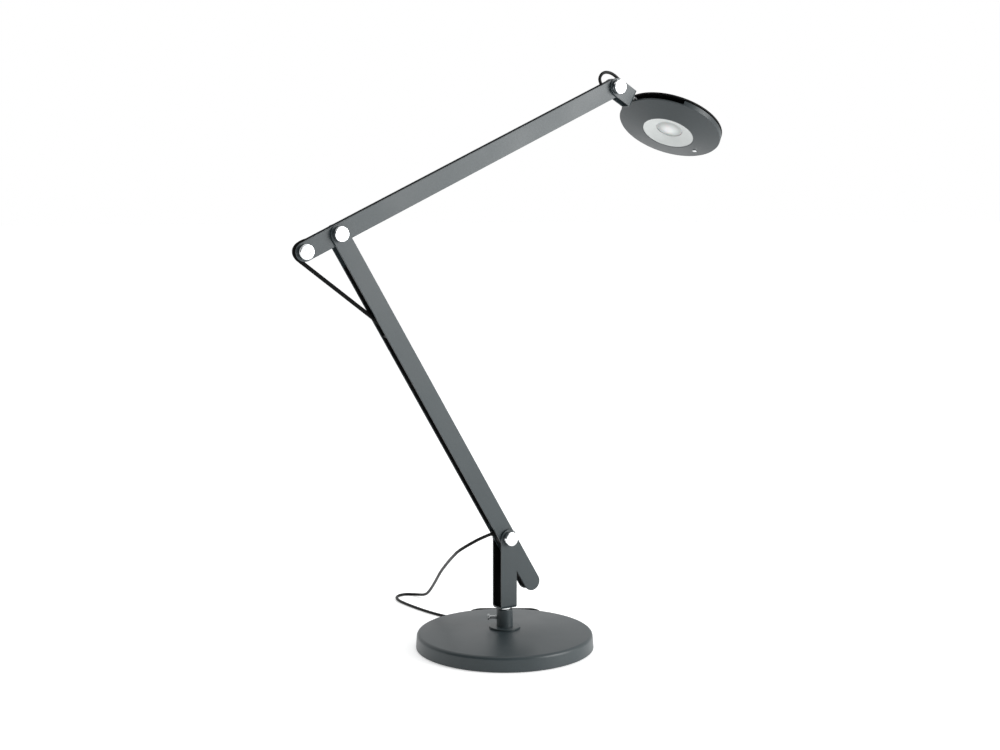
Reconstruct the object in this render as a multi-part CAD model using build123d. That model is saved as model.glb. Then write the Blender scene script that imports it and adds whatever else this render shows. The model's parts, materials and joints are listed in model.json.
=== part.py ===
from build123d import *
from math import acos, atan2, cos, degrees, radians, sin, tan
import os

# Swing arm desk lamp. Millimetres, +Z up, origin at the middle of the base's underside.
# The arms swing in the XZ plane: the shoulder is over the base, the elbow is out to -X
# and the head is out to +X. Every pivot pin lies along Y.

# ---- base ----
base_r = 100.0
rim_height = 17.0
dome_height = 22.0
rim_round = 4.0
rim_lean = 1.2
cover_wall = 2.0
cover_lift = 1.0
pad_height = 2.0
weight_r = 95.0
weight_height = 12.0
nut_room_r = 12.0
nut_room_top = 8.0
flange_r = 17.5
flange_height = 2.0
collar_r = 9.2
collar_top = 43.6
stud_r = 5.0
stem_low = 4.2
bush_r = 6.0
bush_spans = ((25.0, 30.5), (37.2, collar_top))
shaft_r = 4.0
shaft_low = 25.0
thumb_height = 33.8
thumb_angle = 147.5
thumb_shank_r = 1.8
thumb_head_r = 3.5
thumb_head_x = 18.3
thumb_grooves = 18

# ---- fits ----
running = 0.05
washer_gap = 0.05

# ---- flat bars ----
bar_width = 20.0
bar_r = bar_width / 2
arm_plate = 1.5
bent_plate = 2.0
pin_r = 3.0
cap_r = 8.0
cap_height = 6.0
cap_round = 1.0
groove_height = 1.7
groove_width = 0.8
pin_depth = 4.0
edge_round = 0.3

# half gaps between facing plates, measured from the middle plane y = 0
upper_gap = 3.5
lower_gap = 5.5
yoke_gap = 7.5
upper_outer = upper_gap + arm_plate
lower_outer = lower_gap + arm_plate
yoke_outer = yoke_gap + bent_plate
bracket_gap = 5.5
bracket_outer = bracket_gap + arm_plate

# ---- spring and cord inside the lower arm, along its length ----
anchor_x = 112.0
anchor_r = 2.0
spring_start = 118.0
spring_end = 236.0
coil_r = 3.0
coil_pitch = 1.9
wire_r = 0.5
hook_gap = 0.6
cord_start_x = 244.0
guide_x = 275.0
guide_r = 3.0
lower_cable_z = -5.5

# ---- pose at rest ----
yoke_bottom = 45.4
shoulder_height = 125.5
lower_length = 396.0
lower_angle = 121.0
lower_tail = 63.0
upper_length = 387.0
upper_angle = 24.8
upper_tail = 42.0
head_droop = 29.0
head_twist = -10.0

# ---- black channels between the plates ----
liner_start = 24.0
liner_end = lower_length - 36.0
liner_wall = 0.8

# ---- cords ----
cable_r = 1.75
balance_r = 2.2
saddle_r = 7.2
wrap_r = saddle_r + balance_r + 0.05
wrap_legs = 4
guide_z = balance_r + guide_r + 0.5
cord_r = 1.75
cord_d = 2 * cord_r
drum_r = 9.0
spout_root = (-3.0, 0.0, 132.0)
cord_exit = (-17.0, 0.3, 131.0)

# free cord: out of the spout, down behind the lamp, then along the surface to the hank
cord_route = [
    cord_exit,
    (-30.0, 1.0, 128.0),
    (-43.0, 9.0, 119.5),
    (-46.0, 25.0, 110.0),
    (-39.0, 46.0, 100.0),
    (-29.0, 72.0, 88.5),
    (-17.0, 103.0, 74.0),
    (-5.0, 136.0, 57.0),
    (8.5, 170.0, 37.5),
    (20.0, 204.0, 17.0),
    (26.0, 226.0, 5.4),
    (24.0, 247.0, 1.75),
    (12.0, 257.0, 1.75),
    (-2.0, 252.0, 1.75),
    (-9.0, 235.0, 1.75),
    (-9.0, 213.0, 1.75),
    (-7.0, 188.0, 1.75),
    (-3.5, 163.0, 1.75),
    (2.5, 139.0, 1.75),
    (11.0, 120.0, 2.0),
    (21.0, 108.9, 2.25),
    (33.5, 101.0, 2.25),
]

# from the hank's upper layer to the plug
plug_route = [
    (79.2, 76.0, 5.75),
    (91.4, 69.1, 5.6),
    (100.4, 60.0, 4.9),
    (103.5, 49.0, 4.5),
]
plug_angle = -74.3
plug_r = 4.5
relief_length = 12.0
grip_length = 17.0
barrel_r = 2.75
barrel_length = 9.5

# hank of the put-away length, lying square to the line from the base's middle
hank_angle = -32.5
hank_centre = (66.53, 100.72)
hank_run = 56.0
hank_fold = 3 * cord_d
low_fold = hank_fold + 2.5 * cord_d
high_fold = hank_fold + 1.5 * cord_d
eye_fold = hank_fold - 0.5 * cord_d
tie_wall = 0.5
tie_width = 9.0
hank_frame = Location((*hank_centre, 0), (0, 0, hank_angle))

# ---- head ----
web_x = 26.0
twist_height = 4.5
head_centre = 91.3
head_r = 60.5
window_r = 30.0
lens_r = 15.2
shell_rim = -4.2
shell_top = 2.0
cone_depth = 6.2
shell_wall = 1.6
slot_half_angle = 60.0
top_low = 3.6
top_thick = 1.9
stud_tube_r = 2.4
stud_bore_r = 1.3
stud_end = 58.0
stud_lip_r = 3.0
hinge_width = 15.0
sink_r = 46.0
sink_low = -2.2
fin_gaps = 24
board_r = 14.0
board_thick = 1.2
board_low = sink_low - board_thick
button_r = 2.5
button_ring = 45.0
button_tilt = -11.7
screw_turns = (0, 120, 240)
screw_ring = 38.0

parts = {}


def place(x, z, angle):
    """Frame of a bar: its X runs along the bar, its Y stays the world's Y."""
    return Location((x, 0, z), (0, -angle, 0))


def along(x, z, angle, distance):
    return x + distance * cos(radians(angle)), z + distance * sin(radians(angle))


shoulder = (0.0, shoulder_height)
elbow = along(*shoulder, lower_angle, lower_length)
tip = along(*elbow, upper_angle, upper_length)
lower_frame = place(*shoulder, lower_angle)
upper_frame = place(*elbow, upper_angle)
bracket_frame = place(*tip, -head_droop)
head_frame = bracket_frame * Pos(0, 0, twist_height) * Rot(head_twist, 0, 0)


def upright(sketch, y_low, y_high):
    """Thickens a sketch drawn in x and z between two values of y."""
    return Pos(0, y_high, 0) * Rot(90, 0, 0) * extrude(sketch, y_high - y_low)


def bar_outline(x_low, x_high, r=bar_r):
    middle = (x_low + x_high) / 2
    return Pos(middle, 0) * SlotCenterToCenter(x_high - x_low, 2 * r)


def disc(r, y_low, y_high, x=0.0, z=0.0):
    return upright(Pos(x, z) * Circle(r), y_low, y_high)


def turned(points):
    """Solid of revolution about Z, from (radius, height) corners."""
    face = make_face(Polyline(*points, close=True))
    return revolve(Rot(90, 0, 0) * face, Axis.Z)


def tube(r, z_low, z_high):
    """Upright cylinder between two heights."""
    return Pos(0, 0, (z_low + z_high) / 2) * Cylinder(r, z_high - z_low)


def rod(r, x_low, x_high):
    """Cylinder along X."""
    return Pos((x_low + x_high) / 2, 0, 0) * Rot(0, 90, 0) * Cylinder(r, x_high - x_low)


def top_edge(solid):
    return solid.edges().filter_by(GeomType.CIRCLE).sort_by(Axis.Z)[-1]


def flat_bar(x_low, x_high, side, inner, thickness, holes):
    """One plate with round ends; side is -1 in front and 1 behind."""
    low, high = sorted((side * inner, side * (inner + thickness)))
    plate = upright(bar_outline(x_low, x_high), low, high)
    outer_face = plate.faces().sort_by(Axis.Y)[0 if side < 0 else -1]
    plate = fillet(outer_face.outer_wire().edges(), edge_round)
    for x, r in holes:
        plate -= disc(r, low - 1, high + 1, x)
    return plate


def pin_caps(outer, x=0.0):
    """The two round heads on a pivot pin, each with a groove at its foot."""
    heads = []
    for side in (-1, 1):
        head = Cylinder(cap_r, cap_height, align=(Align.CENTER, Align.CENTER, Align.MIN))
        head = fillet(head.edges().filter_by(GeomType.CIRCLE), cap_round)
        groove = Cylinder(cap_r + 1, groove_width) - Cylinder(cap_r - 1, groove_width)
        head -= Pos(0, 0, groove_height) * groove
        head -= Cylinder(pin_r, 2 * pin_depth)
        heads.append(Pos(x, side * outer, 0) * Rot(-90 * side, 0, 0) * head)
    return Compound(children=heads)


def pivot_pin(outer, x=0.0):
    reach = outer + pin_depth
    return disc(pin_r, -reach, reach, x)


def washers(inner, outer):
    """Two friction washers, one in each gap between the plates."""
    rings = []
    for side in (-1, 1):
        low, high = sorted((side * (inner + washer_gap), side * (outer - washer_gap)))
        ring = disc(bar_r - 1.5, low, high) - disc(pin_r + running, low - 1, high + 1)
        rings.append(ring)
    return Compound(children=rings)


def bent_strap(x_end, half_gap, thickness, bend_r, holes):
    """U bent from flat bar: round ends at x = 0, web at x_end."""
    outer = half_gap + thickness
    profile = Pos(x_end / 2, 0) * Rectangle(x_end, 2 * outer)
    profile = fillet(profile.vertices().group_by(Axis.X)[-1], bend_r)
    inner = Pos((x_end - thickness) / 2 - 5, 0) * Rectangle(x_end - thickness + 10, 2 * half_gap)
    inner = fillet(inner.vertices().group_by(Axis.X)[-1], bend_r - thickness + 0.6)
    legs = extrude(profile - inner, bar_r, both=True)
    ends = upright(Circle(bar_r), -outer, outer) - Box(100, 2 * half_gap, 100)
    strap = legs + ends
    strap -= disc(pin_r, -outer - 1, outer + 1)
    for r in holes:
        strap -= Pos(x_end, 0, 0) * Rot(0, 90, 0) * Cylinder(r, 4 * thickness)
    return strap


# ---------------- base: the body that stands still ----------------
def base_section(r, bottom, lift):
    """Half section of a low drum with a domed top, lift below the outer skin."""
    rise = dome_height - rim_height
    dome_r = (base_r ** 2 + rise ** 2) / (2 * rise)
    rim = (r - rim_lean, rim_height - lift)
    crown = (0, dome_height - lift)
    low = Line((0, bottom), (r, bottom))
    wall = Line((r, bottom), rim)
    top = RadiusArc(rim, crown, -dome_r)
    axis = Line(crown, (0, bottom))
    return Rot(90, 0, 0) * make_face([low, wall, top, axis])


def base_pieces():
    skin = revolve(base_section(base_r, cover_lift, 0), Axis.Z)
    rim_edges = skin.edges().filter_by_position(Axis.Z, rim_height - 0.1, rim_height + 0.1)
    skin = fillet(rim_edges, rim_round)
    hollow = revolve(base_section(base_r - cover_wall, 0, cover_wall), Axis.Z)
    parts["base_cover"] = skin - hollow - Cylinder(stud_r, 100)

    pad_r = base_r - cover_wall - 0.5
    parts["foot_pad"] = tube(pad_r, 0, pad_height)

    weight = tube(weight_r, pad_height, pad_height + weight_height)
    weight = chamfer(weight.edges().sort_by(Axis.Z)[-1], 3.0)
    weight -= Cylinder(stud_r + 0.5, 100)
    weight -= tube(nut_room_r, pad_height - 1, nut_room_top)
    parts["base_weight"] = weight


def stem_pieces():
    """The flange and the collar on top of the base, and what clamps them to it."""
    flange_top = dome_height + flange_height
    flange = tube(flange_r, dome_height, flange_top)
    flange = fillet(top_edge(flange), 0.6)
    parts["stem_flange"] = flange - Cylinder(stud_r, 100)

    collar = fillet(top_edge(tube(collar_r, flange_top, collar_top)), 0.8)
    collar += tube(stud_r, stem_low, flange_top)
    collar -= tube(bush_r, flange_top + 1, collar_top)
    thumb_way = Pos(10, 0, 0) * Rot(0, 90, 0) * Cylinder(thumb_shank_r + running, 20)
    parts["stem_collar"] = collar - thumb_frame() * thumb_way

    bushes = []
    for low, high in bush_spans:
        bushes.append(tube(bush_r, low, high) - tube(shaft_r + running, low, high))
    parts["swivel_bushes"] = Compound(children=bushes)

    nut_low = stem_low + 0.2
    nut = extrude(RegularPolygon(8.5, 6), 3.0) - Cylinder(stud_r, 20)
    parts["clamp_nut"] = Pos(0, 0, nut_low) * nut
    parts["clamp_washer"] = tube(11.0, nut_room_top - 0.6, nut_room_top) - Cylinder(stud_r, 100)


def thumb_frame():
    """X runs outwards along the thumb screw, from the stem's middle."""
    return Location((0, 0, thumb_height), (0, 0, thumb_angle))


def thumb_screw():
    shank_start = shaft_r + 0.3
    shank_end = thumb_head_x - 1.1
    shank = rod(thumb_shank_r, shank_start, shank_end)
    neck = rod(2.5, collar_r + 0.5, collar_r + 1.5)
    head = rod(thumb_head_r, shank_end, thumb_head_x + 1.1)
    head = fillet(head.edges().filter_by(GeomType.CIRCLE), 0.4)
    groove = Pos(0, 0, thumb_head_r + 0.15) * rod(0.35, thumb_head_x - 2, thumb_head_x + 2)
    for i in range(thumb_grooves):
        head -= Rot(360 / thumb_grooves * i, 0, 0) * groove
    parts["thumb_screw"] = thumb_frame() * (shank + neck + head)


# ---------------- yoke: turns on the base ----------------
def yoke_pieces():
    yoke_frame = place(*shoulder, -90)
    strap = bent_strap(shoulder_height - yoke_bottom, yoke_gap, bent_plate, 3.6, [shaft_r])
    parts["yoke"] = yoke_frame * strap

    shaft_top = yoke_bottom + bent_plate
    shaft = tube(shaft_r, shaft_low, shaft_top)
    head = fillet(top_edge(tube(5.2, shaft_top, shaft_top + 1.2)), 0.5)
    parts["swivel_shaft"] = shaft + head

    ring_low = collar_top + 0.1
    ring = tube(6.6, ring_low, yoke_bottom) - tube(shaft_r, ring_low, yoke_bottom)
    ring = fillet(ring.edges().filter_by(GeomType.CIRCLE).sort_by(Axis.Z)[0], 0.5)
    parts["swivel_ring"] = ring

    here = place(*shoulder, 0)
    parts["shoulder_pin"] = here * pivot_pin(yoke_outer)
    parts["shoulder_pin_caps"] = here * pin_caps(yoke_outer)

    # the drum that the cable turns round, with the tapered spout it leaves by
    half_width = lower_gap - 0.3
    spout_start = Vector(*spout_root)
    spout_end = Vector(*cord_exit)
    run = spout_end - spout_start
    wide_end = Plane(origin=spout_start, z_dir=run) * Circle(3.6)
    narrow_end = Plane(origin=spout_end, z_dir=run) * Circle(2.6)
    drum = here * (disc(drum_r, -half_width, half_width) - disc(pin_r, -20, 20))
    drum += loft([wide_end, narrow_end])
    parts["cable_drum"] = drum - here * disc(pin_r, -20, 20)


# ---------------- lower arm ----------------
def channel(x_low, x_high, half_gap):
    """Black channel between two plates, open along the bar's +Z edge."""
    depth = bar_r - 1.0
    outer_half = half_gap - 0.02
    middle = (x_low + x_high) / 2
    length = x_high - x_low
    body = Pos(middle, 0, 0) * Box(length, 2 * outer_half, 2 * depth)
    room = Pos(middle, 0, liner_wall) * Box(length + 2, 2 * (outer_half - liner_wall), 2 * depth)
    return body - room


def lower_arm_pieces():
    for name, side in (("lower_plate_front", -1), ("lower_plate_back", 1)):
        holes = [(0, pin_r + running), (lower_length, pin_r)]
        plate = flat_bar(-lower_tail, lower_length, side, lower_gap, arm_plate, holes)
        parts[name] = lower_frame * plate

    liner = channel(liner_start, liner_end, lower_gap)
    parts["lower_channel"] = lower_frame * liner

    spacer = upright(bar_outline(-lower_tail, -34, bar_r - 1.5), -lower_gap, lower_gap)
    parts["lower_tail_spacer"] = lower_frame * spacer

    parts["shoulder_washers"] = lower_frame * washers(lower_outer, yoke_gap)
    parts["elbow_pin"] = lower_frame * pivot_pin(lower_outer, lower_length)
    parts["elbow_pin_caps"] = lower_frame * pin_caps(lower_outer, lower_length)


def lower_arm_insides():
    """The spring, its anchor and guide post, and the cable, between the lower plates."""
    inner_half = lower_gap - liner_wall - 0.05
    guide = disc(guide_r, -inner_half, inner_half, guide_x, guide_z)
    parts["cord_guide_post"] = lower_frame * guide
    anchor = disc(anchor_r, -inner_half, inner_half, anchor_x, 0)
    parts["spring_anchor"] = lower_frame * anchor

    # closely wound tension spring, on a line with the cord that pulls it
    path = Helix(pitch=coil_pitch, height=spring_end - spring_start, radius=coil_r)
    wire_plane = Plane(origin=path @ 0, z_dir=path % 0)
    wire = sweep(wire_plane * Circle(wire_r), path=path, is_frenet=True)
    parts["balance_spring"] = lower_frame * Pos(spring_start, 0, 0) * Rot(0, 90, 0) * wire

    hook_low = rod(1.2, anchor_x + anchor_r, spring_start - hook_gap)
    hook_high = rod(2.0, spring_end + hook_gap, cord_start_x)
    parts["spring_hooks"] = lower_frame * Compound(children=[hook_low, hook_high])

    lead = Pos(0, 0, lower_cable_z) * rod(cable_r, 20, lower_length - 27)
    parts["lower_cable"] = lower_frame * lead


def smooth_tube(points, r, share=0.45, widest=1000.0):
    """Round cord on straight runs joined by arcs, each as large as its runs and widest allow."""
    spots = [Vector(*p) for p in points]
    radii = []
    for before, here, after in zip(spots, spots[1:], spots[2:]):
        turn = (here - before).get_angle(after - here)
        shorter = min((here - before).length, (after - here).length)
        radii.append(min(share * shorter / tan(radians(turn) / 2), widest))
    path = FilletPolyline(*spots, radius=radii)
    cord = sweep(Plane(origin=path @ 0, z_dir=path % 0) * Circle(r), path=path)
    print("tightest bend", round(min(radii), 1), "length", round(path.length, 1))
    return cord


def lower_point(x, z):
    spot = lower_frame * Pos(x, 0, z)
    return tuple(spot.position)


def upper_point(x, z):
    spot = upper_frame * Pos(x, 0, z)
    return tuple(spot.position)


def bracket_point(x, z):
    spot = bracket_frame * Pos(x, 0, z)
    return tuple(spot.position)


def balance_cord():
    """From the spring, round its guide post, across to the tail pin and over the saddle."""
    guide = Vector(*lower_point(guide_x, 0))
    middle = Vector(*upper_point(-upper_tail, 0))
    link = guide - middle
    # directions from the saddle's middle: where the link touches it, and its top
    first = degrees(atan2(link.Z, link.X)) - degrees(acos(wrap_r / link.length)) + 360
    last = upper_angle + 90
    step = (first - last) / wrap_legs
    corners = [lower_point(cord_start_x, 0), lower_point(guide_x, 0)]
    for i in range(wrap_legs):
        turn = radians(first - (i + 0.5) * step)
        reach = wrap_r / cos(radians(step) / 2)
        corners.append((middle.X + reach * cos(turn), 0, middle.Z + reach * sin(turn)))
    corners.append(upper_point(-upper_tail + 8.0, wrap_r))
    corners.append(upper_point(-upper_tail + 26.0, 4.5))
    parts["balance_cord"] = smooth_tube(corners, balance_r, widest=12.0)


# ---------------- upper arm ----------------
def upper_arm_pieces():
    for name, side in (("upper_plate_front", -1), ("upper_plate_back", 1)):
        holes = [(-upper_tail, pin_r), (0, pin_r + running), (upper_length, pin_r + running)]
        plate = flat_bar(-upper_tail, upper_length, side, upper_gap, arm_plate, holes)
        parts[name] = upper_frame * plate

    parts["upper_channel"] = upper_frame * channel(30, upper_length - 34, upper_gap)
    parts["elbow_washers"] = upper_frame * washers(upper_outer, lower_gap)

    half = upper_gap - 0.02
    drum = disc(7.0, -half, half) - disc(pin_r + running, -20, 20)
    parts["elbow_drum"] = upper_frame * drum

    saddle = disc(saddle_r, -half, half) - disc(pin_r, -20, 20)
    parts["tail_saddle"] = upper_frame * Pos(-upper_tail, 0, 0) * saddle
    parts["tail_pin"] = upper_frame * pivot_pin(upper_outer, -upper_tail)
    parts["tail_pin_caps"] = upper_frame * pin_caps(upper_outer, -upper_tail)

    parts["upper_cable"] = upper_frame * rod(cable_r, 10, upper_length - 36.4)


def head_cable():
    """The slack loop over the head pivot, from the arm's channel to the twist stud."""
    end = upper_length
    corners = [
        upper_point(end - 36, 0.0),
        upper_point(end - 23, 1.0),
        upper_point(end - 15.5, 8.0),
        upper_point(end - 16, 17.0),
        upper_point(end - 8, 21.5),
        upper_point(end + 1.5, 17.5),
        upper_point(end + 8.5, 8.5),
        upper_point(end + 12.0, -1.0),
        bracket_point(15.5, twist_height),
        bracket_point(web_x - arm_plate - 2.3, twist_height),
    ]
    parts["head_cable"] = smooth_tube(corners, cable_r)


# ---------------- head bracket ----------------
def bracket_pieces():
    strap = bent_strap(web_x, bracket_gap, arm_plate, 2.6, [])
    hole = Pos(0, 0, twist_height) * rod(stud_tube_r, web_x - 5, web_x + 5)
    parts["head_bracket"] = bracket_frame * (strap - hole)
    parts["head_washers"] = bracket_frame * washers(upper_outer, bracket_gap)
    parts["head_pin"] = bracket_frame * pivot_pin(bracket_outer)
    parts["head_pin_caps"] = bracket_frame * pin_caps(bracket_outer)

    # hollow stud that the head twists on, with the cable running through it
    here = bracket_frame * Pos(0, 0, twist_height)
    web_inside = web_x - arm_plate
    stud = rod(stud_tube_r, web_inside - 2.2, stud_end) + rod(stud_lip_r, stud_end - 1, stud_end)
    parts["twist_stud"] = here * (stud - rod(stud_bore_r, web_inside - 10, stud_end + 10))
    nut = extrude(RegularPolygon(4.2, 6), 2.0) - Cylinder(stud_tube_r, 10)
    parts["stud_nut"] = here * Pos(web_inside - 2.0, 0, 0) * Rot(0, 90, 0) * nut


# ---------------- head: twists on the bracket ----------------
def cone_height(r):
    """Height of the underside's outer surface at a radius, a shallow cone."""
    return shell_rim - cone_depth * (head_r - 0.6 - r) / (head_r - 0.6 - window_r)


def on_head(solid):
    """Moves a solid drawn round the head's middle into the lamp."""
    return head_frame * Pos(head_centre, 0, 0) * solid


def button_place():
    return Pos(button_ring, 0, cone_height(button_ring)) * Rot(0, button_tilt, 0)


def head_shell():
    """Shallow cone with the window in its middle, cut low on the side that faces the arm."""
    window_low = shell_rim - cone_depth
    shell = turned([
        (window_r, window_low),
        (window_r + 1.5, window_low),
        (head_r - 0.6, shell_rim),
        (head_r, shell_rim + 0.8),
        (head_r, shell_top),
        (head_r - shell_wall, shell_top),
        (head_r - shell_wall, shell_rim + shell_wall),
        (window_r + 2.5, window_low + shell_wall + 0.4),
        (window_r, window_low + shell_wall + 0.2),
    ])
    rim_r = head_r + 4
    ring = tube(rim_r, shell_rim + 1.4, shell_top + 4) - tube(head_r - 8, shell_rim + 1.4, shell_top + 4)
    half = radians(slot_half_angle)
    reach = 200.0
    corner = (-reach * cos(half), reach * sin(half))
    mirrored = (corner[0], -corner[1])
    sector = make_face(Polyline((0, 0), corner, (-reach, 0), mirrored, close=True))
    shell -= ring & (Pos(0, 0, -10) * extrude(sector, 30))
    shell -= button_place() * Cylinder(button_r + 0.1, 8)
    parts["head_shell"] = on_head(shell)
    parts["switch_button"] = on_head(button_place() * Pos(0, 0, 0.2) * Cylinder(button_r, 2.4))


def head_cover():
    """The flat cover plate and its countersunk screws."""
    top_high = top_low + top_thick
    cover = tube(head_r, top_low, top_high)
    cover = fillet(cover.edges().filter_by(GeomType.CIRCLE), 0.5)
    screws = []
    for turn in screw_turns:
        at = Rot(0, 0, turn) * Pos(screw_ring, 0, top_high)
        cover -= at * Pos(0, 0, -0.6) * Cone(1.4, 2.6, 1.2)
        cover -= at * Pos(0, 0, -2) * Cylinder(1.4, 6)
        body = at * Pos(0, 0, -0.65) * Cone(1.4, 2.5, 1.1)
        thread = at * Pos(0, 0, -2.4) * Cylinder(1.35, 2.5)
        drive = at * Pos(0, 0, -0.4) * extrude(RegularPolygon(1.2, 6), 1.0)
        screws.append(body + thread - drive)
    parts["head_top"] = on_head(cover)
    parts["top_screws"] = on_head(Compound(children=screws))


def heat_sink():
    """Thick disc with notches round its rim, and a gap for the hinge block."""
    sink = tube(sink_r, sink_low, top_low)
    for i in range(fin_gaps):
        turn = 360 / fin_gaps * (i + 0.5)
        sink -= Rot(0, 0, turn) * Pos(sink_r - 4, 0, 1.2) * Box(16, 3.2, top_low - 1.0)
    for turn in screw_turns:
        sink -= Rot(0, 0, turn) * Pos(screw_ring, 0, 0) * Cylinder(1.35, 20)
    sink -= Pos(-(sink_r - 5), 0, 0) * Box(30, hinge_width + 0.2, 20)
    parts["heat_sink"] = on_head(sink)


def hinge_block():
    """Block inside the head that turns on the stud."""
    block_start = 39.0
    block_end = head_centre - sink_r + 19.5
    block_low = -3.1
    length = block_end - block_start
    block = Pos(block_start + length / 2, 0, (block_low + top_low) / 2)
    block *= Box(length, hinge_width, top_low - block_low)
    block -= rod(stud_tube_r + running, block_start - 17.5, stud_end + 0.5)
    block -= rod(stud_lip_r + 0.3, stud_end - 1.05, stud_end + 1.55)
    parts["hinge_block"] = head_frame * block


def light_pieces():
    """Board, light source, pale dish and lens, in the window."""
    chip_height = 0.5
    parts["led_board"] = on_head(tube(board_r, board_low, board_low + board_thick))
    parts["led_chip"] = on_head(Pos(0, 0, board_low - chip_height / 2) * Box(9, 9, chip_height))

    dish_top = board_low - 0.1
    window_low = shell_rim - cone_depth
    dish = turned([
        (lens_r + 0.3, dish_top),
        (lens_r + 0.3, board_low - 1.6),
        (window_r - 0.1, window_low + 0.2),
        (window_r - 0.1, window_low + 1.6),
        (lens_r + 2.2, dish_top),
    ])
    parts["reflector"] = on_head(dish)

    # the lens bulges down, and is hollowed on top to clear the light source
    crown = board_low - 2.9
    rim = board_low - 1.0
    roof = board_low - 0.9
    rise = rim - crown
    ball_r = (lens_r ** 2 + rise ** 2) / (2 * rise)
    bulge = RadiusArc((0, crown), (lens_r, rim), -ball_r)
    upper_side = Polyline(
        (lens_r, rim), (lens_r, dish_top), (12, dish_top), (10, roof), (0, roof), (0, crown))
    section = make_face(bulge.edges() + upper_side.edges())
    parts["lens"] = on_head(revolve(Rot(90, 0, 0) * section, Axis.Z))


# ---------------- free cord: down to the surface and round behind the base ----------------
def cord_pieces():
    parts["power_cord"] = smooth_tube(cord_route, cord_r)
    parts["plug_lead"] = smooth_tube(plug_route, cord_r)

    # the put-away length: three turns below and two above, folded long and tied
    low_layer = Pos(0, 0, tie_wall) * extrude(winding(low_fold), cord_d)
    high_layer = Pos(0, 0, tie_wall + cord_d) * extrude(winding(high_fold), cord_d)
    eye = extrude(winding(eye_fold), 20)
    parts["cord_hank"] = hank_frame * (low_layer + high_layer - eye)
    parts["cord_tie"] = hank_frame * cord_tie()


def cord_tie():
    """Flat strap that follows the hank's stepped section."""
    wide = low_fold + 0.2
    narrow = high_fold + 0.2
    step = tie_wall + cord_d
    top = tie_wall + 2 * cord_d + 0.1
    room = make_face(Polyline(
        (-wide, tie_wall), (wide, tie_wall), (wide, step),
        (narrow, top), (-narrow, top), (-wide, step), close=True))
    band = offset(room, tie_wall) - room
    return Rot(0, 0, 90) * Rot(90, 0, 0) * extrude(band, tie_width / 2, both=True)


def plug_pieces():
    """Strain relief, grip and barrel, in a row at the lead's end."""
    plug = Location(plug_route[-1], (0, 0, plug_angle)) * Rot(0, 90, 0)
    barrel_low = relief_length + grip_length
    barrel_top = barrel_low + barrel_length
    relief = Pos(0, 0, relief_length / 2) * Cone(cord_r + 0.6, 3.4, relief_length)
    grip = tube(plug_r, relief_length, barrel_low)
    grip = fillet(grip.edges().filter_by(GeomType.CIRCLE), 0.8)
    parts["plug_body"] = plug * (relief + grip)
    barrel = tube(barrel_r, barrel_low, barrel_top) - tube(1.25, barrel_low, barrel_top)
    parts["plug_barrel"] = plug * barrel


def winding(r):
    return SlotCenterToCenter(hank_run, 2 * r)


base_pieces()
stem_pieces()
thumb_screw()
yoke_pieces()
lower_arm_pieces()
lower_arm_insides()
balance_cord()
upper_arm_pieces()
head_cable()
bracket_pieces()
head_shell()
head_cover()
heat_sink()
hinge_block()
light_pieces()
cord_pieces()
plug_pieces()

os.makedirs("parts", exist_ok=True)
for name, solid in parts.items():
    export_step(solid, f"parts/{name}.step")
print(len(parts), "nodes")
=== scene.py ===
import json
from math import acos, atan2, cos, pi, radians, sin

import bpy
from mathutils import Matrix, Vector


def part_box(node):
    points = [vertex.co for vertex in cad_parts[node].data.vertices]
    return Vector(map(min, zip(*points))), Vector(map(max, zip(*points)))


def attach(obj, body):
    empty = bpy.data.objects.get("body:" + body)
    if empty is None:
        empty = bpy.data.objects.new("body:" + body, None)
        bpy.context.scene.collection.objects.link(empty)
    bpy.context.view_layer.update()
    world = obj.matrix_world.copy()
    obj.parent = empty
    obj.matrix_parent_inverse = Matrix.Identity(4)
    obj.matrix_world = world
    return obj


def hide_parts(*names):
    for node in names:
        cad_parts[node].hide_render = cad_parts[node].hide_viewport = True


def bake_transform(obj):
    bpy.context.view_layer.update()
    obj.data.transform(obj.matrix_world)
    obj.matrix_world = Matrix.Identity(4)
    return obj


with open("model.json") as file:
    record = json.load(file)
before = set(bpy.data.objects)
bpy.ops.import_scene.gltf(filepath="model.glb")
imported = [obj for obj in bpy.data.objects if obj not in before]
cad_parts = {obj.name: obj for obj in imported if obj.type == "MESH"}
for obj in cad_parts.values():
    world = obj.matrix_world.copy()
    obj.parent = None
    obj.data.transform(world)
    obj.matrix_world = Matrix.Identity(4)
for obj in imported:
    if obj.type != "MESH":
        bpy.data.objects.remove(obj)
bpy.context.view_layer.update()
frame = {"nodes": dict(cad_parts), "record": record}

nodes = frame["nodes"]
mm = 0.001
print("frame loaded,", len(nodes), "nodes")


# ---- small helpers ----
def linear(code):
    # sRGB hex to the linear colour that a shader takes
    channels = [int(code[i:i + 2], 16) / 255 for i in (0, 2, 4)]
    return [c / 12.92 if c <= 0.04045 else ((c + 0.055) / 1.055) ** 2.4 for c in channels] + [1.0]


def addNode(tree, kind, inputs=None, **settings):
    # inputs maps a socket's name or number to a constant or to another node's output
    node = tree.nodes.new(kind)
    for name, value in settings.items():
        setattr(node, name, value)
    for socket, value in (inputs or {}).items():
        if isinstance(value, bpy.types.NodeSocket):
            tree.links.new(value, node.inputs[socket])
        else:
            node.inputs[socket].default_value = value
    return node


def newMaterial(name):
    material = bpy.data.materials.new(name)
    material.use_nodes = True
    material.node_tree.nodes.clear()
    return material, material.node_tree


def closeMaterial(tree, shader):
    addNode(tree, "ShaderNodeOutputMaterial", {"Surface": shader.outputs[0]})


def dress(obj, material):
    obj.data.materials.clear()
    obj.data.materials.append(material)


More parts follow.
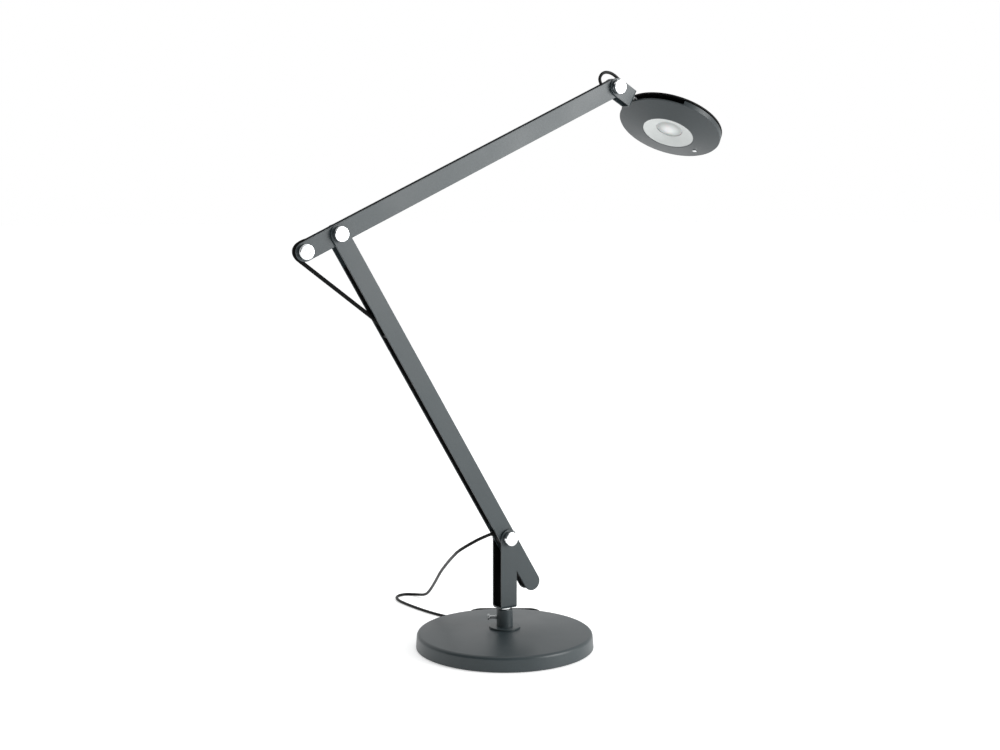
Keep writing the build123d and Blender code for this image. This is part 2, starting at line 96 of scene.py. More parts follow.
# ---- finishes ----
# Each grained finish: two close tones, the size of its grain in mm, a slow cloud in mm that varies
# the gloss, and how high the grain stands, in mm. The colours are sRGB.
finishes = {
    # anthracite polyester powder, baked: an even satin with a faint orange peel. The real peel is
    # under a millimetre across; drawn at 1.4 mm so that it shows at all
    "anthracitePowderCoat": {
        "tones": ("2c3538", "313b3e"), "grain": 1.4, "cloud": 70, "gloss": (0.36, 0.44),
        "height": 0.0025, "ior": 1.5},
    # the same powder on die-cast aluminium, a touch smoother
    "anthraciteHeadCoat": {
        "tones": ("252c2f", "2a3235"), "grain": 1.2, "cloud": 40, "gloss": (0.34, 0.42),
        "height": 0.002, "ior": 1.5},
    # moulded black ABS with a fine spark-eroded grain, which kills the shine
    "blackMouldedAbs": {
        "tones": ("060707", "0a0b0b"), "grain": 0.8, "cloud": 25, "gloss": (0.5, 0.62),
        "height": 0.03, "ior": 1.3},
    # soft PVC lead: dull black with long soft highlights
    "pvcSheath": {
        "tones": ("050606", "090a0a"), "grain": 2.0, "cloud": 30, "gloss": (0.42, 0.54),
        "height": 0.012, "ior": 1.3},
    # glass-filled nylon washers
    "blackNylon": {
        "tones": ("101112", "191a1b"), "grain": 0.5, "cloud": 12, "gloss": (0.45, 0.6),
        "height": 0.015, "ior": 1.53},
    # closed-cell foam foot, with its open pores
    "cellFoam": {
        "tones": ("141414", "232323"), "grain": 0.9, "cloud": 20, "gloss": (0.8, 0.95),
        "height": 0.12, "ior": 1.45},
    # bare cast iron, rough from the sand
    "sandCastIron": {
        "tones": ("2b2b2a", "3a3937"), "grain": 1.1, "cloud": 30, "gloss": (0.6, 0.8),
        "height": 0.15, "ior": 1.5},
    # solder mask on the light board
    "whiteSolderMask": {
        "tones": ("dcdedb", "e6e8e5"), "grain": 0.7, "cloud": 9, "gloss": (0.3, 0.4),
        "height": 0.005, "ior": 1.5},
    # silicone over the phosphor
    "phosphorGel": {
        "tones": ("d9b83c", "e8cb55"), "grain": 0.6, "cloud": 5, "gloss": (0.2, 0.3),
        "height": 0.02, "ior": 1.41},
    # white moulded dish, a satin that gathers light evenly
    "whiteMouldedDish": {
        "tones": ("bcbfbe", "c4c7c6"), "grain": 0.9, "cloud": 14, "gloss": (0.34, 0.44),
        "height": 0.006, "ior": 1.49},
}

# Bare metals: the tone, how long and how fine the tool marks are in mm, and the gloss.
metals = {
    # bright chrome plate on turned steel: near-mirror, with the faintest turning marks
    "turnedChrome": {"tone": "eceeef", "marks": (2.0, 0.3), "gloss": (0.05, 0.11), "height": 0.002},
    # zinc plate, passivated: grey and a little cloudy
    "zincPlate": {"tone": "b4b7b8", "marks": (4.0, 0.5), "gloss": (0.28, 0.4), "height": 0.006},
    # drawn spring wire, dark from its temper
    "springWire": {"tone": "8c8f90", "marks": (6.0, 0.2), "gloss": (0.22, 0.34), "height": 0.004},
    # sintered bronze bush, with its pores
    "sinteredBronze": {"tone": "a3743c", "marks": (0.7, 0.6), "gloss": (0.4, 0.55), "height": 0.02},
    # nickel on the plug's barrel
    "nickelPlate": {"tone": "d5d2ca", "marks": (3.0, 0.3), "gloss": (0.12, 0.2), "height": 0.002},
    # black anodised fins
    "blackAnodised": {"tone": "24272a", "marks": (5.0, 0.4), "gloss": (0.35, 0.5), "height": 0.006},
    # plain turned steel, a mid grey satin
    "turnedSteel": {"tone": "77797a", "marks": (2.0, 0.3), "gloss": (0.32, 0.42), "height": 0.004},
    # blackened and oiled steel: dark, with a soft gleam
    "oiledSteel": {"tone": "1a1c1d", "marks": (3.0, 0.3), "gloss": (0.4, 0.5), "height": 0.004},
    # brushed button cap, pale
    "brushedButton": {"tone": "dfe1e2", "marks": (3.0, 0.15), "gloss": (0.22, 0.3), "height": 0.003},
}


# how the noises are used: the stretch of their product and of the cloud that is spread out over the
# tones and the gloss, and how strongly the grain and the tool marks turn the surface
spread = {"tone": (0.12, 0.4), "gloss": (0.3, 0.7), "grainStrength": 0.35, "markStrength": 0.3,
          "smearSize": 9}


def glossFrom(tree, noise, gloss):
    return addNode(tree, "ShaderNodeMapRange", {
        "Value": noise.outputs["Fac"], "From Min": spread["gloss"][0], "From Max": spread["gloss"][1],
        "To Min": gloss[0], "To Max": gloss[1]})


def grainedFinish(name):
    look = finishes[name]
    material, tree = newMaterial(name)
    place = addNode(tree, "ShaderNodeTexCoord").outputs["Object"]
    grain = addNode(tree, "ShaderNodeTexNoise", {
        "Vector": place, "Scale": 1000 / look["grain"], "Detail": 3.0, "Roughness": 0.55})
    cloud = addNode(tree, "ShaderNodeTexNoise", {
        "Vector": place, "Scale": 1000 / look["cloud"], "Detail": 2.0})
    both = addNode(tree, "ShaderNodeMath", {0: grain.outputs["Fac"], 1: cloud.outputs["Fac"]},
                   operation="MULTIPLY")
    share = addNode(tree, "ShaderNodeMapRange", {
        "Value": both.outputs[0], "From Min": spread["tone"][0], "From Max": spread["tone"][1]})
    colour = addNode(tree, "ShaderNodeMix", {
        0: share.outputs[0], 6: linear(look["tones"][0]), 7: linear(look["tones"][1])},
        data_type="RGBA")
    gloss = glossFrom(tree, cloud, look["gloss"])
    bump = addNode(tree, "ShaderNodeBump", {
        "Height": grain.outputs["Fac"], "Strength": spread["grainStrength"],
        "Distance": look["height"] * mm})
    shader = addNode(tree, "ShaderNodeBsdfPrincipled", {
        "Base Color": colour.outputs[2], "Roughness": gloss.outputs[0], "IOR": look["ior"],
        "Normal": bump.outputs[0]})
    closeMaterial(tree, shader)
    return material


def bareMetal(name):
    look = metals[name]
    material, tree = newMaterial(name)
    place = addNode(tree, "ShaderNodeTexCoord").outputs["Object"]
    longMark, fineMark = look["marks"]
    stretched = addNode(tree, "ShaderNodeMapping", {
        "Vector": place, "Scale": (1000 / longMark, 1000 / fineMark, 1000 / longMark)})
    marks = addNode(tree, "ShaderNodeTexNoise", {
        "Vector": stretched.outputs[0], "Scale": 1.0, "Detail": 2.0})
    smear = addNode(tree, "ShaderNodeTexNoise", {
        "Vector": place, "Scale": 1000 / spread["smearSize"], "Detail": 3.0})
    gloss = glossFrom(tree, smear, look["gloss"])
    bump = addNode(tree, "ShaderNodeBump", {
        "Height": marks.outputs["Fac"], "Strength": spread["markStrength"],
        "Distance": look["height"] * mm})
    shader = addNode(tree, "ShaderNodeBsdfPrincipled", {
        "Base Color": linear(look["tone"]), "Metallic": 1.0, "Roughness": gloss.outputs[0],
        "Normal": bump.outputs[0]})
    closeMaterial(tree, shader)
    return material


# Frosted polycarbonate lens: milky and soft, with painted light making it palest in the middle over
# the light source, and a greyer ring of painted shade where it curves down to its rim.
lensLook = {
    # the middle tone is painted light, the ring tone painted shade
    "middle": "d9dad9", "ring": "a3a6a5", "rim": "b4b7b6",
    "paintedLightEnds": 0.3, "paintedShadeAt": 0.86,  # as shares of the radius
    "roughness": 0.42, "ior": 1.58, "frost": 0.5, "milk": 0.15, "milkDepth": 0.002}


def frostedPolycarbonate():
    material, tree = newMaterial("frostedPolycarbonate")
    low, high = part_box("lens")
    centre = (low + high) / 2
    radius = (high.y - low.y) / 2
    place = addNode(tree, "ShaderNodeTexCoord").outputs["Object"]
    fromCentre = addNode(tree, "ShaderNodeVectorMath", {0: place, 1: centre}, operation="DISTANCE")
    share = addNode(tree, "ShaderNodeMath", {0: fromCentre.outputs["Value"], 1: radius},
                    operation="DIVIDE")
    # radial ramp: painted light in the middle, painted shade in the ring towards the rim
    ramp = addNode(tree, "ShaderNodeValToRGB", {"Fac": share.outputs[0]})
    stops = ramp.color_ramp.elements
    stops[0].position = lensLook["paintedLightEnds"]
    stops[0].color = linear(lensLook["middle"])
    stops[1].position = 1.0
    stops[1].color = linear(lensLook["rim"])
    ring = stops.new(lensLook["paintedShadeAt"])
    ring.color = linear(lensLook["ring"])
    frost = addNode(tree, "ShaderNodeTexNoise", {
        "Vector": place, "Scale": 1000 / lensLook["frost"], "Detail": 2.0})
    bump = addNode(tree, "ShaderNodeBump", {
        "Height": frost.outputs["Fac"], "Strength": 0.2, "Distance": 0.004 * mm})
    shader = addNode(tree, "ShaderNodeBsdfPrincipled", {
        "Base Color": ramp.outputs["Color"], "Roughness": lensLook["roughness"],
        "IOR": lensLook["ior"], "Subsurface Weight": lensLook["milk"],
        "Subsurface Scale": lensLook["milkDepth"], "Normal": bump.outputs[0]})
    closeMaterial(tree, shader)
    return material


# Black braided polyester cord: two sets of strands that cross, dull, with a trace of a fibre's sheen.
# The UV map is in millimetres, along and around the cord.
braidLook = {"strand": 1.1, "lean": 45, "height": 0.15, "dark": "030404", "light": "090a0a",
             "roughness": 0.9, "ior": 1.25, "sheen": 0.03}


def braidedPolyester():
    material, tree = newMaterial("braidedPolyester")
    place = addNode(tree, "ShaderNodeUVMap", uv_map="cordMap").outputs[0]
    crossed = []
    for lean in (braidLook["lean"], -braidLook["lean"]):
        turned = addNode(tree, "ShaderNodeMapping", {
            "Vector": place, "Rotation": (0, 0, radians(lean))})
        crossed.append(addNode(tree, "ShaderNodeTexWave", {
            "Vector": turned.outputs[0], "Scale": 2 * pi / (20 * braidLook["strand"]),
            "Distortion": 0.3}).outputs["Fac"])
    weave = addNode(tree, "ShaderNodeMath", {0: crossed[0], 1: crossed[1]}, operation="MAXIMUM")
    colour = addNode(tree, "ShaderNodeMix", {
        0: weave.outputs[0], 6: linear(braidLook["dark"]), 7: linear(braidLook["light"])},
        data_type="RGBA")
    bump = addNode(tree, "ShaderNodeBump", {
        "Height": weave.outputs[0], "Strength": 0.6, "Distance": braidLook["height"] * mm})
    shader = addNode(tree, "ShaderNodeBsdfPrincipled", {
        "Base Color": colour.outputs[2], "Roughness": braidLook["roughness"], "IOR": braidLook["ior"],
        "Sheen Weight": braidLook["sheen"], "Normal": bump.outputs[0]})
    closeMaterial(tree, shader)
    return material


# near-black shade painted inside the yoke, on the inner faces between its legs: half its gap and the
# thickness of its web, in mm
yokePaintedShade = {"halfGap": 7.6, "web": 1.9, "tone": "050606", "roughness": 0.95, "ior": 1.2}


def yokeWithPaintedShade():
    # the coated strip, with near-black shade painted on its inner faces, where the legs shade each
    # other
    material = grainedFinish("anthracitePowderCoat")
    material.name = "powderCoatWithPaintedShade"
    tree = material.node_tree
    shader = next(n for n in tree.nodes if n.type == "BSDF_PRINCIPLED")
    output = next(n for n in tree.nodes if n.type == "OUTPUT_MATERIAL")
    place = addNode(tree, "ShaderNodeSeparateXYZ", {
        "Vector": addNode(tree, "ShaderNodeTexCoord").outputs["Object"]})
    offMiddle = addNode(tree, "ShaderNodeMath", {0: place.outputs["Y"]}, operation="ABSOLUTE")
    between = addNode(tree, "ShaderNodeMath", {
        0: offMiddle.outputs[0], 1: yokePaintedShade["halfGap"] * mm}, operation="LESS_THAN")
    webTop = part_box("yoke")[0].z + yokePaintedShade["web"] * mm
    above = addNode(tree, "ShaderNodeMath", {0: place.outputs["Z"], 1: webTop},
                    operation="GREATER_THAN")
    inside = addNode(tree, "ShaderNodeMath", {0: between.outputs[0], 1: above.outputs[0]},
                     operation="MULTIPLY")
    # the painted shade: a dull near-black where the legs shade each other
    paintedShade = addNode(tree, "ShaderNodeBsdfPrincipled", {
        "Base Color": linear(yokePaintedShade["tone"]), "Roughness": yokePaintedShade["roughness"],
        "IOR": yokePaintedShade["ior"]})
    both = addNode(tree, "ShaderNodeMixShader", {
        0: inside.outputs[0], 1: shader.outputs[0], 2: paintedShade.outputs[0]})
    tree.links.new(both.outputs[0], output.inputs["Surface"])
    return material


made = {name: grainedFinish(name) for name in finishes}
made.update({name: bareMetal(name) for name in metals})
made["frostedPolycarbonate"] = frostedPolycarbonate()
made["braidedPolyester"] = braidedPolyester()

finishOfSlot = {
    "anthracite_steel": "anthracitePowderCoat",
    "anthracite_aluminium": "anthraciteHeadCoat",
    "chromed_steel": "turnedChrome",
    "bright_steel": "zincPlate",
    "cast_iron": "sandCastIron",
    "foot_foam": "cellFoam",
    "bronze": "sinteredBronze",
    "nylon": "blackNylon",
    "black_plastic": "blackMouldedAbs",
    "cord_sheath": "pvcSheath",
    "braided_cord": "braidedPolyester",
    "plug_metal": "nickelPlate",
    "black_aluminium": "blackAnodised",
    "white_board": "whiteSolderMask",
    "phosphor": "phosphorGel",
    "white_reflector": "whiteMouldedDish",
    "frosted_lens": "frostedPolycarbonate",
    "button_metal": "brushedButton",
}
for part in frame["record"]["subparts"]:
    dress(nodes[part["node"]], made[finishOfSlot[part["material_slot"]]])

# the few whose own finish differs from the rest of their slot; the yoke's adds painted shade inside
# it
ownFinish = {"yoke": yokeWithPaintedShade(), "twist_stud": made["turnedSteel"],
             "cord_guide_post": made["oiledSteel"], "spring_hooks": made["oiledSteel"]}
for name, material in ownFinish.items():
    dress(nodes[name], material)
print("finishes on", len(nodes), "nodes")


# ---- the lamp's own frames, in mm ----
arms = {
    "shoulder": (0.0, 125.5), "lowerAngle": 121.0, "lowerLength": 396.0,
    "upperAngle": 24.8, "upperLength": 387.0, "upperTail": 42.0, "headDroop": 29.0,
}


def onBar(origin, angle, along, across=0.0):
    # a point on a bar's middle plane: along the bar, then across it, towards its open side
    turn = radians(angle)
    x = origin[0] + along * cos(turn) - across * sin(turn)
    z = origin[1] + along * sin(turn) + across * cos(turn)
    return (x, z)


elbow = onBar(arms["shoulder"], arms["lowerAngle"], arms["lowerLength"])
tip = onBar(elbow, arms["upperAngle"], arms["upperLength"])


def lowerPoint(along, across):
    x, z = onBar(arms["shoulder"], arms["lowerAngle"], along, across)
    return (x, 0.0, z)


def upperPoint(along, across):
    x, z = onBar(elbow, arms["upperAngle"], along, across)
    return (x, 0.0, z)


def bracketPoint(along, across):
    x, z = onBar(tip, -arms["headDroop"], along, across)
    return (x, 0.0, z)


# ---- cords ----
def nurbsCurve(name, pointsMm, thickness=0.0):
    curve = bpy.data.curves.new(name, "CURVE")
    curve.dimensions = "3D"
    curve.resolution_u = 8
    spline = curve.splines.new("NURBS")
    spline.points.add(len(pointsMm) - 1)
    for point, spot in zip(spline.points, pointsMm):
        point.co = (*[c * mm for c in spot], 1.0)
    spline.order_u = 3
    spline.use_endpoint_u = True
    curve.bevel_depth = thickness * mm
    curve.bevel_resolution = 4
    curve.use_fill_caps = True
    obj = bpy.data.objects.new(name, curve)
    bpy.context.scene.collection.objects.link(obj)
    return obj


def lineOf(pointsMm):
    # the smooth line of a cord, in metres
    guide = nurbsCurve("guideLine", pointsMm)
    bpy.context.view_layer.update()
    graph = bpy.context.evaluated_depsgraph_get()
    mesh = bpy.data.meshes.new_from_object(guide.evaluated_get(graph))
    line = [vertex.co.copy() for vertex in mesh.vertices]
    bpy.data.meshes.remove(mesh)
    bpy.data.objects.remove(guide)
    return line


def tubeOn(name, line, radius, sides=16):
    # closed mesh tube with a UV map in millimetres, along and around
    heading = (line[1] - line[0]).normalized()
    across = heading.cross(Vector((0, 1, 0))).normalized()
    verts, faces, along = [], [], [0.0]
    for i, spot in enumerate(line):
        after = line[min(i + 1, len(line) - 1)]
        before = line[max(i - 1, 0)]
        heading = (after - before).normalized()
        across = (across - heading * across.dot(heading)).normalized()
        other = heading.cross(across)
        for k in range(sides):
            turn = 2 * pi * k / sides
            verts.append(spot + (across * cos(turn) + other * sin(turn)) * radius)
        if i:
            along.append(along[-1] + (spot - line[i - 1]).length)
    rings = len(line)
    for i in range(rings - 1):
        for k in range(sides):
            nextK = (k + 1) % sides
            faces.append((i * sides + k, i * sides + nextK,
                          (i + 1) * sides + nextK, (i + 1) * sides + k))
    faces.append(tuple(reversed(range(sides))))
    faces.append(tuple(range((rings - 1) * sides, rings * sides)))
    mesh = bpy.data.meshes.new(name)
    mesh.from_pydata(verts, [], faces)
    cordMap = mesh.uv_layers.new(name="cordMap")
    for polygon in mesh.polygons:
        ringStart = min(v // sides for v in polygon.vertices)
        seam = {v % sides for v in polygon.vertices} == {0, sides - 1}
        for corner in polygon.loop_indices:
            vertex = mesh.loops[corner].vertex_index
            step = vertex % sides
            if seam and step == 0:
                step = sides
            ring = vertex // sides if len(polygon.vertices) == 4 else ringStart
            cordMap.data[corner].uv = (along[ring] / mm, step / sides * 2 * pi * radius / mm)
        polygon.use_smooth = len(polygon.vertices) == 4
    obj = bpy.data.objects.new(name, mesh)
    bpy.context.scene.collection.objects.link(obj)
    return obj


powerLead = {
    "diameter": 3.5,
    # out of the spout, down behind the lamp, then along the surface to the hank
    "route": [
        (-17.0, 0.3, 131.0), (-30.0, 1.0, 128.0), (-43.0, 9.0, 119.5), (-46.0, 25.0, 110.0),
        (-39.0, 46.0, 100.0), (-29.0, 72.0, 88.5), (-17.0, 103.0, 74.0), (-5.0, 136.0, 57.0),
        (8.5, 170.0, 37.5), (20.0, 204.0, 17.0), (26.0, 226.0, 5.4), (24.0, 247.0, 1.75),
        (12.0, 257.0, 1.75), (-2.0, 252.0, 1.75), (-9.0, 235.0, 1.75), (-9.0, 213.0, 1.75),
        (-7.0, 188.0, 1.75), (-3.5, 163.0, 1.75), (2.5, 139.0, 1.75), (11.0, 120.0, 2.0),
        (21.0, 108.9, 2.25),
    ],
    # put away as a hank: its middle, its heading, its straight run, then each half turn as the
    # radius and height that it starts and ends at
    "hankCentre": (66.53, 100.72), "hankAngle": -32.5, "hankRun": 56.0,
    "folds": [
        (17.5, 17.5, 2.25, 2.25), (17.5, 14.0, 2.25, 2.25), (14.0, 14.0, 2.25, 2.25),
        (14.0, 10.5, 2.25, 2.25), (10.5, 10.5, 2.25, 2.25), (10.5, 10.5, 2.25, 5.75),
        (10.5, 14.0, 5.75, 5.75), (14.0, 14.0, 5.75, 5.75),
    ],
    "foldSteps": 6, "runSteps": 4,
    # from the hank's upper layer to the plug
    "plugRoute": [(79.2, 76.0, 5.75), (91.4, 69.1, 5.6), (100.4, 60.0, 4.9), (103.5, 49.0, 4.5)],
    "plugAngle": -74.3,  # the plug's heading on the surface
    "length": 1.38,  # of the whole lead, in metres
}


def hankPoints(lead):
    turn = radians(lead["hankAngle"])
    half = lead["hankRun"] / 2

    def placed(x, y, z):
        return (lead["hankCentre"][0] + x * cos(turn) - y * sin(turn),
                lead["hankCentre"][1] + x * sin(turn) + y * cos(turn), z)

    points = []
    side = 1
    startY = -lead["folds"][0][0]
    height = lead["folds"][0][2]
    for startR, endR, startZ, endZ in lead["folds"]:
        for i in range(lead["runSteps"]):
            run = lead["hankRun"] * i / lead["runSteps"]
            points.append(placed(side * (run - half), startY, height))
        for i in range(lead["foldSteps"]):
            share = (i + 0.5) / lead["foldSteps"]
            # the radius and the height change so that neighbouring turns stay a diameter apart
            radius = endR + (startR - endR) * cos(share * pi / 2)
            z = startZ + (endZ - startZ) * sin(share * pi / 2)
            angle = -pi / 2 + pi * share
            reach = radius / cos(pi / 2 / lead["foldSteps"])
            points.append(placed(side * (half + reach * cos(angle)), side * reach * sin(angle), z))
        side = -side
        startY = side * -endR
        height = endZ
    points.append(placed(-half, startY, height))
    points.append(placed(-half / 3, startY, height))
    return points


leadPoints = powerLead["route"] + hankPoints(powerLead) + powerLead["plugRoute"]
powerCord = nurbsCurve("powerCord", leadPoints, powerLead["diameter"] / 2)
dress(powerCord, made["pvcSheath"])
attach(powerCord, "yoke")
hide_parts("power_cord", "cord_hank", "plug_lead")
print("power cord laid,", len(leadPoints), "points")

# the slack loop over the head's pivot, made as one fixed tube; the two places between which it bends
# as the head tilts are listed with it
headLoop = {
    "radius": 1.75, "bendStart": upperPoint(370.0, 0.0), "bendEnd": bracketPoint(14.0, 0.0),
    "points": [
        upperPoint(351.0, 0.0), upperPoint(364.0, 1.0), upperPoint(371.5, 8.0),
        upperPoint(371.0, 17.0), upperPoint(379.0, 21.5), upperPoint(388.5, 17.5),
        upperPoint(395.5, 8.5), upperPoint(399.0, -1.0), bracketPoint(15.5, 4.5),
        bracketPoint(22.2, 4.5),
    ],
}
headLine = lineOf(headLoop["points"])
headCable = tubeOn("headCable", headLine, headLoop["radius"] * mm)
dress(headCable, made["pvcSheath"])
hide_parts("head_cable")
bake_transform(headCable)

# the cord that the spring pulls: round its post, across to the tail pin and over the saddle
balance = {"radius": 2.2, "saddle": 7.2, "clearance": 0.05, "post": 275.0, "start": 244.0,
           "legs": 4, "bendStart": lowerPoint(283.0, 0.0), "linkShares": (0.1, 0.5, 0.93),
           "leave": (8.0, 26.0, 4.5)}  # off the saddle: along it, then along the arm and across it


def balancePoints(look):
    wrap = look["saddle"] + look["radius"] + look["clearance"]
    post = Vector(lowerPoint(look["post"], 0.0))
    middle = Vector(upperPoint(-arms["upperTail"], 0.0))
    link = post - middle
    # the headings from the saddle's middle: where the link touches it, and its top
    first = atan2(link.z, link.x) - acos(wrap / link.length) + 2 * pi
    last = radians(arms["upperAngle"] + 90)
    step = (first - last) / look["legs"]
    points = [lowerPoint(look["start"], 0.0), lowerPoint(look["post"] - 12, 0.0), tuple(post)]
    reach = wrap / cos(step / 2)
    corner = middle + reach * Vector((cos(first - step / 2), 0, sin(first - step / 2)))
    # the link is pulled straight, so it has a point near each end
    points += [tuple(post.lerp(corner, share)) for share in look["linkShares"]]
    for i in range(look["legs"]):
        turn = first - (i + 0.5) * step
        points.append(tuple(middle + reach * Vector((cos(turn), 0, sin(turn)))))
    overTop, inside, across = look["leave"]
    points += [upperPoint(overTop - arms["upperTail"], wrap),
               upperPoint(inside - arms["upperTail"], across)]
    return points, tuple(corner)


balanceRoute, linkEnd = balancePoints(balance)
balanceLine = lineOf(balanceRoute)
balanceCord = tubeOn("balanceCord", balanceLine, balance["radius"] * mm)
dress(balanceCord, made["braidedPolyester"])
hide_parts("balance_cord")
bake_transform(balanceCord)
print("head loop and balance cord made")


# ---- what repeats ----
def newTree(name, sizes):
    # a geometry tree with its named inputs; sizes maps each name to its kind of socket
    tree = bpy.data.node_groups.new(name, "GeometryNodeTree")
    tree.interface.new_socket("Geometry", in_out="INPUT", socket_type="NodeSocketGeometry")
    for label, kind in {**sizes, "Place": "Vector", "Turn": "Vector"}.items():
        tree.interface.new_socket(label, in_out="INPUT", socket_type="NodeSocket" + kind)
    tree.interface.new_socket("Geometry", in_out="OUTPUT", socket_type="NodeSocketGeometry")
    return tree, addNode(tree, "NodeGroupInput").outputs


def closeTree(tree, sizes, geometry, material):
    # into its place on the lamp, then made real and given its finish
    placed = addNode(tree, "GeometryNodeTransform", {
        "Geometry": geometry, "Translation": sizes["Place"], "Rotation": sizes["Turn"]})
    smooth = addNode(tree, "GeometryNodeSetShadeSmooth", {0: placed.outputs[0]})
    real = addNode(tree, "GeometryNodeRealizeInstances", {0: smooth.outputs[0]})
    finished = addNode(tree, "GeometryNodeSetMaterial", {
        "Geometry": real.outputs[0], "Material": material})
    addNode(tree, "NodeGroupOutput", {0: finished.outputs[0]})


def pieceFromTree(name, tree, values):
    # the tree's result as a plain mesh, with no modifier left on it
    piece = bpy.data.objects.new(name, bpy.data.meshes.new(name + "Start"))
    bpy.context.scene.collection.objects.link(piece)
    modifier = piece.modifiers.new(name, "NODES")
    modifier.node_group = tree
    for item in tree.interface.items_tree:
        if item.in_out == "INPUT" and item.name in values:
            modifier[item.identifier] = values[item.name]
    bpy.context.view_layer.update()
    graph = bpy.context.evaluated_depsgraph_get()
    mesh = bpy.data.meshes.new_from_object(piece.evaluated_get(graph))
    piece.modifiers.remove(modifier)
    piece.data = mesh
    return piece


# close-wound spring of drawn wire, inside the lower arm; mm along the arm
spring = {"start": 118.0, "end": 236.0, "coilRadius": 3.0, "wireRadius": 0.5, "pitch": 1.06,
          "stepsPerTurn": 14, "wireSides": 7}


def springTree(material):
    tree, sizes = newTree("woundSpring", {
        "Turns": "Float", "Coil Radius": "Float", "Length": "Float", "Wire Radius": "Float"})
    coil = addNode(tree, "GeometryNodeCurveSpiral", {
        "Resolution": spring["stepsPerTurn"], "Rotations": sizes["Turns"],
        "Start Radius": sizes["Coil Radius"], "End Radius": sizes["Coil Radius"],
        "Height": sizes["Length"]})
    section = addNode(tree, "GeometryNodeCurvePrimitiveCircle", {
        "Resolution": spring["wireSides"], "Radius": sizes["Wire Radius"]})
    wire = addNode(tree, "GeometryNodeCurveToMesh", {
        "Curve": coil.outputs[0], "Profile Curve": section.outputs[0], "Fill Caps": True})
    closeTree(tree, sizes, wire.outputs[0], material)
    return tree


springLength = spring["end"] - spring["start"]
balanceSpring = pieceFromTree("balanceSpring", springTree(made["springWire"]), {
    "Turns": springLength / spring["pitch"], "Coil Radius": spring["coilRadius"] * mm,
    "Length": springLength * mm, "Wire Radius": spring["wireRadius"] * mm,
    "Place": [c * mm for c in lowerPoint(spring["start"], 0.0)],
    "Turn": (0.0, radians(90 - arms["lowerAngle"]), 0.0)})
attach(balanceSpring, "lower_arm")
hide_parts("balance_spring")
print("spring wound,", len(balanceSpring.data.polygons), "faces")

# bending ribs on the plug's strain relief; mm along it from the lead's end
ribs = {"count": 6, "start": 1.5, "end": 10.5, "radii": (2.45, 3.22), "thickness": 0.35,
        "steps": 40, "sides": 8}


def ribTree(material):
    tree, sizes = newTree("reliefRibs", {
        "Count": "Int", "Length": "Float", "Small Radius": "Float", "Large Radius": "Float",
        "Thickness": "Float"})
    reach = addNode(tree, "ShaderNodeCombineXYZ", {"Z": sizes["Length"]})
    row = addNode(tree, "GeometryNodeMeshLine", {
        "Count": sizes["Count"], "Offset": reach.outputs[0]}, mode="END_POINTS")
    last = addNode(tree, "ShaderNodeMath", {0: sizes["Count"], 1: 1.0}, operation="SUBTRACT")
    number = addNode(tree, "GeometryNodeInputIndex")
    radius = addNode(tree, "ShaderNodeMapRange", {
        "Value": number.outputs[0], "From Max": last.outputs[0],
        "To Min": sizes["Small Radius"], "To Max": sizes["Large Radius"]})
    share = addNode(tree, "ShaderNodeMath", {0: radius.outputs[0], 1: sizes["Large Radius"]},
                    operation="DIVIDE")
    loop = addNode(tree, "GeometryNodeCurvePrimitiveCircle", {
        "Resolution": ribs["steps"], "Radius": sizes["Large Radius"]})
    section = addNode(tree, "GeometryNodeCurvePrimitiveCircle", {
        "Resolution": ribs["sides"], "Radius": sizes["Thickness"]})
    rib = addNode(tree, "GeometryNodeCurveToMesh", {
        "Curve": loop.outputs[0], "Profile Curve": section.outputs[0]})
    rows = addNode(tree, "GeometryNodeInstanceOnPoints", {
        "Points": row.outputs[0], "Instance": rib.outputs[0], "Scale": share.outputs[0]})
    closeTree(tree, sizes, rows.outputs[0], material)
    return tree


slotOf = {part["node"]: part["material_slot"] for part in frame["record"]["subparts"]}
plugSlot = slotOf["plug_body"]
plugHeading = radians(powerLead["plugAngle"])
alongPlug = Vector((cos(plugHeading), sin(plugHeading), 0))
ribStart = Vector(powerLead["plugRoute"][-1]) + ribs["start"] * alongPlug
plugRibs = pieceFromTree("plugRibs", ribTree(made[finishOfSlot[plugSlot]]), {
    "Count": ribs["count"], "Length": (ribs["end"] - ribs["start"]) * mm,
    "Small Radius": ribs["radii"][0] * mm, "Large Radius": ribs["radii"][1] * mm,
    "Thickness": ribs["thickness"] * mm, "Place": ribStart * mm,
    "Turn": (0.0, pi / 2, plugHeading)})
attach(plugRibs, "yoke")
print("ribs on the plug's relief,", len(plugRibs.data.polygons), "faces")


# ---- the studio ----
studio = {
    "floorSize": 80.0, "floorTone": "f4f5f5", "floorGlow": 0.45,
    "skyTone": "ffffff", "skyBright": 0.9, "skyDark": 0.1, "darkSide": (-0.86, -0.5, 0.0),
    "darkFrom": -0.1, "darkTo": 0.75,  # how far round towards the dark side the sky fades
    "cameraPlace": (-0.8900, -1.3871, 0.4915), "cameraTurn": (83.64, 0.0, -32.5), "lens": 54.0,
}


def makeFloor():
    half = studio["floorSize"] / 2
    mesh = bpy.data.meshes.new("floor")
    corners = [(-half, -half, 0), (half, -half, 0), (half, half, 0), (-half, half, 0)]
    mesh.from_pydata(corners, [], [(0, 1, 2, 3)])
    floor = bpy.data.objects.new("floor", mesh)
    bpy.context.scene.collection.objects.link(floor)
    material, tree = newMaterial("palePaper")
    shader = addNode(tree, "ShaderNodeBsdfPrincipled", {
        "Base Color": linear(studio["floorTone"]), "Roughness": 0.9, "Specular IOR Level": 0.1,
        "Emission Color": (1, 1, 1, 1), "Emission Strength": studio["floorGlow"]})
    closeMaterial(tree, shader)
    dress(floor, material)


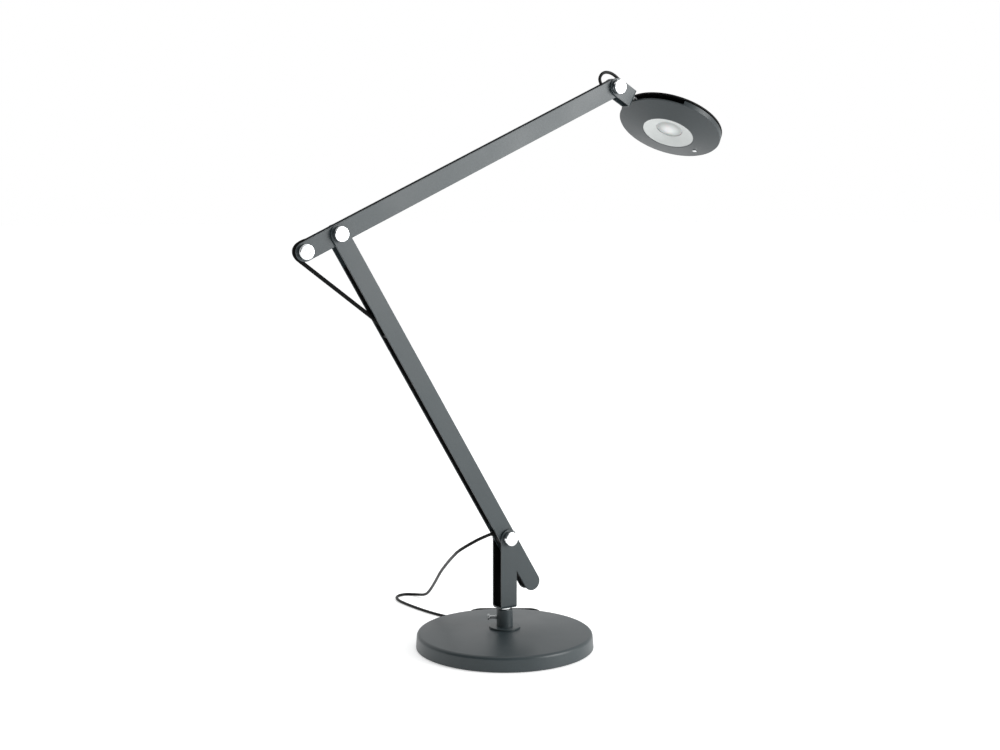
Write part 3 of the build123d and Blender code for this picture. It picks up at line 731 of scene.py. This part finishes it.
def makeSky():
    # white behind the lamp, and dark on its left, which is what the black open sides reflect
    world = bpy.data.worlds.new("studioSky")
    bpy.context.scene.world = world
    world.use_nodes = True
    tree = world.node_tree
    tree.nodes.clear()
    heading = addNode(tree, "ShaderNodeTexCoord").outputs["Generated"]
    towardsDark = addNode(tree, "ShaderNodeVectorMath", {0: heading, 1: studio["darkSide"]},
                          operation="DOT_PRODUCT")
    strength = addNode(tree, "ShaderNodeMapRange", {
        "Value": towardsDark.outputs["Value"], "From Min": studio["darkFrom"],
        "From Max": studio["darkTo"], "To Min": studio["skyBright"], "To Max": studio["skyDark"]})
    soft = addNode(tree, "ShaderNodeBackground", {
        "Color": linear(studio["skyTone"]), "Strength": strength.outputs[0]})
    plain = addNode(tree, "ShaderNodeBackground", {"Color": (1, 1, 1, 1), "Strength": 1.0})
    seen = addNode(tree, "ShaderNodeLightPath").outputs["Is Camera Ray"]
    mixed = addNode(tree, "ShaderNodeMixShader", {0: seen, 1: soft.outputs[0], 2: plain.outputs[0]})
    addNode(tree, "ShaderNodeOutputWorld", {"Surface": mixed.outputs[0]})


softboxes = {
    "keyBox": {"place": (1.4, -1.85, 0.85), "aim": (0.15, 0.0, 0.65), "size": 1.3,
               "power": 44.0},  # near the mirror direction of the arms, to light their flats
    "topBox": {"place": (0.2, 0.5, 2.2), "aim": (0.0, 0.0, 0.0), "size": 1.6, "power": 6.0},
}


def makeSoftbox(name, look):
    light = bpy.data.lights.new(name, "AREA")
    light.shape = "SQUARE"
    light.size = look["size"]
    light.energy = look["power"]
    obj = bpy.data.objects.new(name, light)
    bpy.context.scene.collection.objects.link(obj)
    obj.location = look["place"]
    towards = Vector(look["aim"]) - Vector(look["place"])
    obj.rotation_euler = towards.to_track_quat("-Z", "Y").to_euler()


makeFloor()
makeSky()
for name, look in softboxes.items():
    makeSoftbox(name, look)

camera = bpy.data.objects.new("camera", bpy.data.cameras.new("camera"))
bpy.context.scene.collection.objects.link(camera)
camera.data.lens = studio["lens"]
camera.data.sensor_width = 36.0
camera.location = studio["cameraPlace"]
camera.rotation_euler = [radians(angle) for angle in studio["cameraTurn"]]
bpy.context.scene.camera = camera
bpy.context.scene.view_settings.view_transform = "Standard"
print("studio ready")
